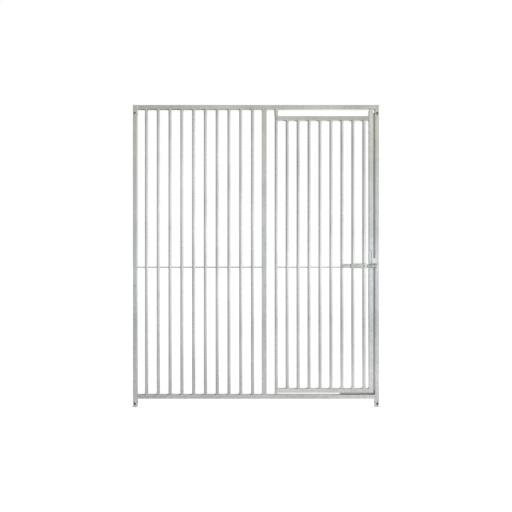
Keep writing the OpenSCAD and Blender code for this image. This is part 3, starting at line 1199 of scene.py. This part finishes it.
@dataclass
class SlideBolt:
    """The slide bolt: its barrel on the last two bars, its guide, its keeper and the overlap tab."""

    bead: WeldBead = WeldBead(leg=2.2 * MM, bulge=0.7 * MM, taper=3 * MM)
    saddle: WeldBead = WeldBead(leg=3.2 * MM, bulge=1.6 * MM, taper=4 * MM)
    saddle_reach: float = 0.75
    saddle_height: float = 0.45
    saddle_lift: float = 0.4 * MM
    saddle_end: float = 1.0 * MM
    saddle_slope: float = 0.7
    saddle_points: int = 24
    seam: WeldBead = WeldBead(leg=3.0 * MM, bulge=0.5 * MM, ripple_share=0.10)
    seam_half_turn: float = 0.85 * math.pi
    # Painted shadow: a dark ring on the grip just outside the barrel's mouth
    mouth_shadow: WeldBead = WeldBead(leg=2.8 * MM, bulge=0.15 * MM, ripple_share=0.05, seam_lean=0.02)
    mouth_shadow_gap: float = 8.0 * MM
    tab_gap: float = 2.0 * MM
    tab_round: float = 9.0 * MM

    def bracket_welds(self, bracket: Box, face_y: float, start_x: float) -> list[Loft]:
        """Lays the beads along the upper and lower edge of a bracket's foot.

        Args:
            bracket: the bracket's box.
            face_y: the face that it stands on.
            start_x: where the upper bead starts.

        Returns:
            Both beads.
        """
        (x0, _, z0), (x1, _, z1) = bracket.low, bracket.high
        upper = self.bead.straight((start_x, face_y, z1), (x1, face_y, z1), UP, FRONT, phase=1.2)
        lower = self.bead.straight((x0, face_y, z0), (x1, face_y, z0), DOWN, FRONT, phase=2.6)
        return [upper, lower]

    def saddle_welds(self, barrel: Box, bar: Box) -> list[Loft]:
        """Lays the beads above and below the barrel's axis, in the groove between it and a bar.

        The path follows the bar's front across its width, at a share of the barrel's half height
        above or below its axis, where the groove is open enough to take the bead.

        Args:
            barrel: the barrel's box.
            bar: the bar's box.

        Returns:
            Both beads.
        """
        radius = bar.half[0]
        reach = self.saddle_reach * radius
        off = np.linspace(-reach, reach, self.saddle_points)
        ends = (barrel.low[0] + self.saddle_end, barrel.high[0] - self.saddle_end)
        x = np.clip(bar.centre[0] + off, *ends)
        y = bar.centre[1] - np.sqrt(radius**2 - (x - bar.centre[0]) ** 2) - self.saddle_lift
        made = []
        for up in (-1, 1):
            z = np.full_like(x, barrel.centre[2] + up * self.saddle_height * barrel.half[2])
            slope = self.saddle_slope * np.array([0.0, -1.0, up])
            rise = np.array([0.0, 0.0, up])
            made.append(self.saddle.along(np.stack([x, y, z], -1), slope, rise, up + bar.low[0]))
        return made

    def door_welds(self) -> list[Loft]:
        """Lays the beads of the guide, the barrel and the tab, which ride on the door.

        Returns:
            The beads.
        """
        guide, tab = Box.of("bolt_guide"), Box.of("overlap_tab")
        face = Box.of("lock_stile").low[1]
        barrel = Box(Box.of("latch_barrel").low, Box.of("latch_collar").high)
        made = self.bracket_welds(guide, face, guide.low[0])
        for bar in ("door_bar_7", "door_bar_8"):
            made += self.saddle_welds(barrel, Box.of(bar))
        foot = (tab.low[0], face, tab.low[2])
        head = (tab.low[0], face, tab.high[2] - self.tab_round)
        made.append(self.bead.straight(foot, head, LEFT, FRONT, phase=0.9))
        return made

    def keeper_welds(self) -> list[Loft]:
        """Lays the keeper's beads on the right post; the upper one stays clear of the closed tab."""
        keeper, tab, post = Box.of("bolt_keeper"), Box.of("overlap_tab"), Box.of("right_post")
        return self.bracket_welds(keeper, post.low[1], tab.high[0] + self.tab_gap)

    def collar_seam(self) -> list[Loft]:
        """Lays the flat seam round the joint of the barrel and its collar, open at the front."""
        collar = Box.of("latch_collar")
        return [self.seam.band(collar, collar.low[0], self.seam_half_turn)]

    def grip_shadow_ring(self) -> list[Loft]:
        """Lays a painted shadow: a dark ring on the grip just outside the barrel's mouth."""
        mouth = Box.of("latch_barrel").low[0]
        return [self.mouth_shadow.band(Box.of("bolt_grip"), mouth - self.mouth_shadow_gap, np.pi)]

    def build(self, trim: Trim) -> None:
        """Builds the slide bolt's beads and the painted shadow ring on its grip.

        Args:
            trim: the materials of the small pieces.
        """
        for name, surfaces, finish, body in (
            ("latch_welds", self.door_welds(), trim.weld, Body.DOOR),
            ("collar_seam", self.collar_seam(), trim.seam, Body.DOOR),
            ("keeper_welds", self.keeper_welds(), trim.weld, Body.FRAME),
            ("grip_painted_shadow_ring", self.grip_shadow_ring(), trim.grey_line_and_shadow, Body.BOLT),
        ):
            make_piece(name, surfaces, finish, body)


@dataclass(frozen=True)
class SoftBox:
    """A square soft box: its place, the point it faces, its side in metres, its watts and its beam."""

    name: str
    place: Point
    aim: Point
    size: float
    watts: float
    spread_degrees: float

    def hang(self) -> None:
        """Hangs the lamp, hidden from the camera."""
        data = bpy.data.lights.new(self.name, "AREA")
        data.shape = "SQUARE"
        data.size = self.size
        data.energy = self.watts
        data.spread = math.radians(self.spread_degrees)
        lamp = new_object(self.name, data)
        lamp.location = self.place
        lamp.rotation_mode = "QUATERNION"
        way = Vector(self.aim) - Vector(self.place)
        lamp.rotation_quaternion = way.to_track_quat("-Z", "Y")
        lamp.visible_camera = False


@dataclass
class Stage:
    """The white studio: floor, soft light and the camera at the photograph's view.

    The floor's ramps go by place in metres, and those of the room, its bright wall and the backdrop
    by direction.
    """

    frame_px: int = 512
    mm_per_px: float = 6.088
    centre_z: float = 0.92
    distance: float = 2.7
    sensor_mm: float = 36.0
    floor_half: float = 30.0
    floor_colour: str = "#d0d0d0"
    floor_white: float = 0.65
    floor_front: Ramp = Ramp(0.0, 0.6, 0.3, 0.0)
    floor_right: Ramp = Ramp(-0.9, 0.9)
    floor_rear: Ramp = Ramp(-0.1, 0.5, 0.16, 1.0)
    room_left: Ramp = Ramp(-0.9, 0.05, 0.52, 1.12, Ease.SMOOTH)
    room_ceiling: Ramp = Ramp(0.22, 0.5, 1.0, 0.5, Ease.SMOOTH)
    wall_right: Ramp = Ramp(0.1, 0.7, 0.0, 0.6, Ease.SMOOTH)
    wall_rear: Ramp = Ramp(-0.8, 0.0, ease=Ease.SMOOTH)
    backdrop: Ramp = Ramp(0.8, 0.97, ease=Ease.SMOOTH)
    lamps: tuple[SoftBox, ...] = (
        SoftBox("key_right", (2.8, -1.7, 0.7), (0.2, 0.0, 0.7), 1.4, 8.0, 180.0),
        SoftBox("floor_right", (0.6, -0.7, 1.9), (0.5, -0.25, 0.0), 0.3, 0.3, 40.0),
    )

    def camera(self) -> None:
        """Puts the camera square in front, so that the front face has the photograph's scale."""
        width = self.frame_px * self.mm_per_px * MM
        data = bpy.data.cameras.new("camera")
        data.sensor_width = self.sensor_mm
        data.lens = self.sensor_mm * self.distance / width
        camera = new_object("camera", data)
        camera.location = (0.0, -self.distance, self.centre_z)
        camera.rotation_euler = (math.radians(90), 0.0, 0.0)
        bpy.context.scene.camera = camera

    def floor_material(self) -> Any:
        """Makes the floor's material, a matt one that is white to the eye and still takes shadows.

        In reflections it glows a little in front of the panel, and behind it more and more towards
        the right. That level is the right-hand ramp times the rear ramp, plus the front ramp.

        Returns:
            The Blender material.
        """
        made = bpy.data.materials.new("pale_floor")
        add = node_adder(made)
        rays = add("LightPath", None, {})
        split = add("SeparateXYZ", None, {}, {"Vector": add("TexCoord", "Object", {})})
        front, right, rear = (
            add("MapRange", "Result", ramp.settings(), {"Value": split[axis]})
            for ramp, axis in ((self.floor_front, "Y"), (self.floor_right, "X"), (self.floor_rear, "Y"))
        )
        sweep = add("Math", "Value", TIMES_PLUS, {0: right, 1: rear, 2: front})
        glossy = add("Math", "Value", TIMES, {0: rays["Is Glossy Ray"], 1: sweep})
        white = {**TIMES_PLUS, 1: self.floor_white}
        glow = add("Math", "Value", white, {0: rays["Is Camera Ray"], 2: glossy})
        light = add("Emission", "Emission", {}, {"Strength": glow})
        matt = add("BsdfDiffuse", "BSDF", {"Color": linear(self.floor_colour)})
        both = add("AddShader", "Shader", {}, {0: light, 1: matt})
        add("OutputMaterial", None, {}, {"Surface": both})
        return made

    def floor(self) -> None:
        """Lays the pale floor under the panel."""
        h = self.floor_half
        mesh = bpy.data.meshes.new("floor")
        mesh.from_pydata([(-h, -h, 0), (h, -h, 0), (h, h, 0), (-h, h, 0)], [], [(0, 1, 2, 3)])
        mesh.materials.append(self.floor_material())
        floor = new_object("floor", mesh)

    def world(self) -> None:
        """Makes the studio round the panel: white to the eye, and for light a room with one bright side.

        The level for light falls off to the left and to the ceiling. It steps up to the right and
        behind, where a bright wall stands. Straight behind the panel, metal sees the white backdrop.
        """
        world = bpy.data.worlds.new("studio")
        bpy.context.scene.world = world
        add = node_adder(world)
        split = add("SeparateXYZ", None, {}, {"Vector": add("TexCoord", "Generated", {})})
        left, ceiling, right, rear, behind = (
            add("MapRange", "Result", ramp.settings(), {"Value": split[axis]})
            for ramp, axis in (
                (self.room_left, "X"),
                (self.room_ceiling, "Z"),
                (self.wall_right, "X"),
                (self.wall_rear, "Y"),
                (self.backdrop, "Y"),
            )
        )
        room = add("Math", "Value", TIMES, {0: left, 1: ceiling})
        lit = add("Math", "Value", TIMES_PLUS, {0: right, 1: rear, 2: room})
        rays = add("LightPath", None, {})
        eye = {0: rays["Is Camera Ray"], 1: rays["Is Transmission Ray"]}
        seen = add("Math", "Value", LARGER, eye)
        mirrored = add("Math", "Value", TIMES, {0: rays["Is Glossy Ray"], 1: behind})
        white = add("Math", "Value", LARGER, {0: seen, 1: mirrored})
        level = add("Mix", "Result", {"B": 1.0}, {"Factor": white, "A": lit})
        plain = {"Color": linear("#ffffff")}
        glow = add("Background", "Background", plain, {"Strength": level})
        add("OutputWorld", None, {}, {"Surface": glow})

    def build(self) -> None:
        """Builds the studio and sets the plain view transform."""
        bpy.context.scene.view_settings.view_transform = "Standard"
        self.camera()
        self.floor()
        self.world()
        for lamp in self.lamps:
            lamp.hang()


def dress_nodes(
    nodes: dict[str, Any], record: dict[str, Any], finishes: dict[Slot, Any], single: dict[str, Any]
) -> None:
    """Gives every CAD node the finish of its material slot, or one of its own.

    Args:
        nodes: the CAD objects by name.
        record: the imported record.
        finishes: the material for each slot.
        single: the material of each node that has one of its own.
    """
    slots = {s["node"]: Slot(s["material_slot"]) for s in record["subparts"]}
    for name, node in nodes.items():
        finish = single.get(name, finishes[slots[name]])
        node.material_slots[0].material = finish
        LOG.info("%s wears %s", name, finish.name)


def main() -> None:
    """Loads the frame, builds the pieces in order and sets the stage."""
    logging.basicConfig(level=logging.INFO, format="%(name)s: %(message)s")
    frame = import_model()
    finishes = {
        Slot.SQUARE_TUBE: TUBE_ZINC.material(),
        Slot.ROUND_BAR: BAR_ZINC.material(),
        Slot.STRIP_AND_ROD: ROD_ZINC.material(),
        Slot.FITTINGS: FITTING_ZINC.material(),
    }
    trim = Trim(
        weld=WELD_ZINC.material(),
        seam=SEAM_ZINC.material(),
        plate=PLATE_ZINC.material(),
        grey_line_and_shadow=GREY_LINE_AND_SHADOW_ZINC.material(),
        mark=PAINTED_SHADOW_ZINC.material(),
    )
    # Painted light: the gap strip and the sill stop wear a near-white finish that lightens their shaded
    # gaps
    strip, latch, bolt = STRIP_ZINC_PAINTED_LIGHT.material(), LATCH_ZINC.material(), BOLT_ZINC.material()
    single = {
        **{rail: finish.material() for rail, finish in RAIL_ZINC.items()},
        "gap_strip": strip,
        "sill_stop": strip,
        "overlap_tab": trim.plate,
        "lock_stile": STILE_ZINC.material(),
        "hinge_sleeve": latch,
        "bolt_grip": latch,
        "latch_barrel": latch,
        "latch_collar": trim.seam,
        "bolt_rod": bolt,
        "bolt_guide": bolt,
        "bolt_stop_pin": DARK_STOP_PIN.material(),
    }
    dress_nodes(frame["nodes"], frame["record"], finishes, single)
    for assembly in (FixedBay(), DoorLeaf(), DoorPivots(), SlideBolt()):
        assembly.build(trim)
    Stage().build()


if __name__ == "__main__":
    main()
